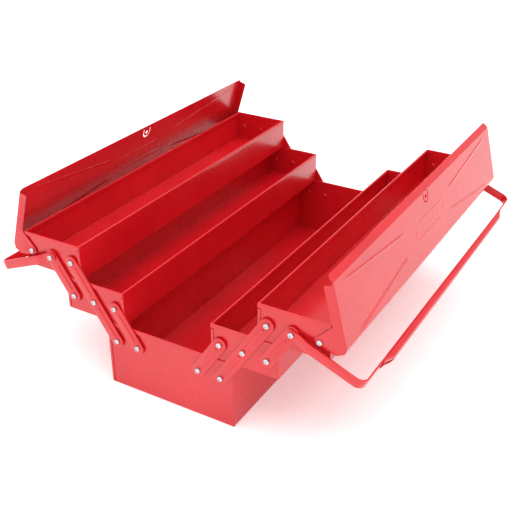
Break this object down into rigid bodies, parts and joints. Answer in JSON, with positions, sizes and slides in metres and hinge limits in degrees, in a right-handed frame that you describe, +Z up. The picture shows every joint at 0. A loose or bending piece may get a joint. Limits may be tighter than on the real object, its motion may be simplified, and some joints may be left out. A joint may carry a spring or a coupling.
{
  "type": "cantilever toolbox",
  "caption": "Sheet-steel toolbox that spreads open: a deep base tray, stepped side trays on pivoting links, hinged lids and a strap handle on each side.",
  "frame": {"origin": "centre of the base tray's underside", "axes": "+Y along the trays, +X across the box to the right-hand trays, +Z up"},
  "size_m": [0.5794, 0.572, 0.2672],
  "materials": {
    "red_enamel": "gloss stoving enamel on folded steel sheet",
    "rivet_zinc": "bright zinc plate on steel rivets"
  },
  "bodies": {
    "base": {"base_trough": "red_enamel", "base_end_wall_front": "red_enamel", "base_end_wall_rear": "red_enamel", "rivet_base_inner_right_front": "rivet_zinc", "rivet_base_inner_right_rear": "rivet_zinc", "rivet_base_inner_left_front": "rivet_zinc", "rivet_base_inner_left_rear": "rivet_zinc", "rivet_base_outer_right_front": "rivet_zinc", "rivet_base_outer_right_rear": "rivet_zinc", "rivet_base_outer_left_front": "rivet_zinc", "rivet_base_outer_left_rear": "rivet_zinc"},
    "right_long_links": {"long_link_right_front": "red_enamel", "long_link_right_rear": "red_enamel"},
    "right_inner_links": {"inner_link_right_front": "red_enamel", "inner_link_right_rear": "red_enamel"},
    "right_middle_tray": {"middle_tray_right": "red_enamel", "rivet_middle_inner_right_front": "rivet_zinc", "rivet_middle_inner_right_rear": "rivet_zinc", "rivet_middle_centre_right_front": "rivet_zinc", "rivet_middle_centre_right_rear": "rivet_zinc", "rivet_middle_outer_right_front": "rivet_zinc", "rivet_middle_outer_right_rear": "rivet_zinc"},
    "right_outer_links": {"outer_link_right_front": "red_enamel", "outer_link_right_rear": "red_enamel"},
    "right_upper_tray": {"upper_trough_right": "red_enamel", "upper_end_wall_right_front": "red_enamel", "upper_end_wall_right_rear": "red_enamel", "rivet_upper_inner_right_front": "rivet_zinc", "rivet_upper_inner_right_rear": "rivet_zinc", "rivet_upper_outer_right_front": "rivet_zinc", "rivet_upper_outer_right_rear": "rivet_zinc", "rivet_lid_hinge_right_front": "rivet_zinc", "rivet_lid_hinge_right_rear": "rivet_zinc"},
    "right_lid": {"lid_right": "red_enamel"},
    "right_handle": {"handle_right": "red_enamel"},
    "left_long_links": {"long_link_left_front": "red_enamel", "long_link_left_rear": "red_enamel"},
    "left_inner_links": {"inner_link_left_front": "red_enamel", "inner_link_left_rear": "red_enamel"},
    "left_middle_tray": {"middle_tray_left": "red_enamel", "rivet_middle_inner_left_front": "rivet_zinc", "rivet_middle_inner_left_rear": "rivet_zinc", "rivet_middle_centre_left_front": "rivet_zinc", "rivet_middle_centre_left_rear": "rivet_zinc", "rivet_middle_outer_left_front": "rivet_zinc", "rivet_middle_outer_left_rear": "rivet_zinc"},
    "left_outer_links": {"outer_link_left_front": "red_enamel", "outer_link_left_rear": "red_enamel"},
    "left_upper_tray": {"upper_trough_left": "red_enamel", "upper_end_wall_left_front": "red_enamel", "upper_end_wall_left_rear": "red_enamel", "rivet_upper_inner_left_front": "rivet_zinc", "rivet_upper_inner_left_rear": "rivet_zinc", "rivet_upper_outer_left_front": "rivet_zinc", "rivet_upper_outer_left_rear": "rivet_zinc", "rivet_lid_hinge_left_front": "rivet_zinc", "rivet_lid_hinge_left_rear": "rivet_zinc"},
    "left_lid": {"lid_left": "red_enamel"},
    "left_handle": {"handle_left": "red_enamel"}
  },
  "joints": [
    {"name": "right_fold", "type": "hinge", "parent": "base", "child": "right_long_links", "pos_m": [0.0829, 0, 0.0743], "axis": [0, -1, 0], "range_deg": [0, 67.2]},
    {"name": "right_inner_link_pivot", "type": "hinge", "parent": "base", "child": "right_inner_links", "pos_m": [0.0487, 0, 0.0743], "axis": [0, -1, 0], "range_deg": [0, 67.2]},
    {"name": "right_middle_tray_pivot", "type": "hinge", "parent": "right_long_links", "child": "right_middle_tray", "pos_m": [0.1169, 0, 0.12545], "axis": [0, -1, 0], "range_deg": [-67.2, 0]},
    {"name": "right_outer_link_pivot", "type": "hinge", "parent": "right_middle_tray", "child": "right_outer_links", "pos_m": [0.1511, 0, 0.12545], "axis": [0, -1, 0], "range_deg": [0, 67.2]},
    {"name": "right_upper_tray_pivot", "type": "hinge", "parent": "right_long_links", "child": "right_upper_tray", "pos_m": [0.1509, 0, 0.1766], "axis": [0, -1, 0], "range_deg": [-67.2, 0]},
    {"name": "right_lid_hinge", "type": "hinge", "parent": "right_upper_tray", "child": "right_lid", "pos_m": [0.2208, 0, 0.1766], "axis": [0, -1, 0], "range_deg": [0, 75.8]},
    {"name": "right_handle_pivot", "type": "hinge", "parent": "right_upper_tray", "child": "right_handle", "pos_m": [0.1851, 0, 0.1766], "axis": [0, -1, 0], "range_deg": [0, 134]},
    {"name": "left_fold", "type": "hinge", "parent": "base", "child": "left_long_links", "pos_m": [-0.0829, 0, 0.0743], "axis": [0, 1, 0], "range_deg": [0, 67.2]},
    {"name": "left_inner_link_pivot", "type": "hinge", "parent": "base", "child": "left_inner_links", "pos_m": [-0.0487, 0, 0.0743], "axis": [0, 1, 0], "range_deg": [0, 67.2]},
    {"name": "left_middle_tray_pivot", "type": "hinge", "parent": "left_long_links", "child": "left_middle_tray", "pos_m": [-0.1169, 0, 0.12545], "axis": [0, 1, 0], "range_deg": [-67.2, 0]},
    {"name": "left_outer_link_pivot", "type": "hinge", "parent": "left_middle_tray", "child": "left_outer_links", "pos_m": [-0.1511, 0, 0.12545], "axis": [0, 1, 0], "range_deg": [0, 67.2]},
    {"name": "left_upper_tray_pivot", "type": "hinge", "parent": "left_long_links", "child": "left_upper_tray", "pos_m": [-0.1509, 0, 0.1766], "axis": [0, 1, 0], "range_deg": [-67.2, 0]},
    {"name": "left_lid_hinge", "type": "hinge", "parent": "left_upper_tray", "child": "left_lid", "pos_m": [-0.2208, 0, 0.1766], "axis": [0, 1, 0], "range_deg": [0, 73.2]},
    {"name": "left_handle_pivot", "type": "hinge", "parent": "left_upper_tray", "child": "left_handle", "pos_m": [-0.1851, 0, 0.1766], "axis": [0, 1, 0], "range_deg": [0, 134]}
  ],
  "couplings": [
    {"joint": "right_inner_link_pivot", "follows": "right_fold", "ratio": 1},
    {"joint": "right_middle_tray_pivot", "follows": "right_fold", "ratio": -1},
    {"joint": "right_outer_link_pivot", "follows": "right_fold", "ratio": 1},
    {"joint": "right_upper_tray_pivot", "follows": "right_fold", "ratio": -1},
    {"joint": "left_inner_link_pivot", "follows": "left_fold", "ratio": 1},
    {"joint": "left_middle_tray_pivot", "follows": "left_fold", "ratio": -1},
    {"joint": "left_outer_link_pivot", "follows": "left_fold", "ratio": 1},
    {"joint": "left_upper_tray_pivot", "follows": "left_fold", "ratio": -1}
  ]
}
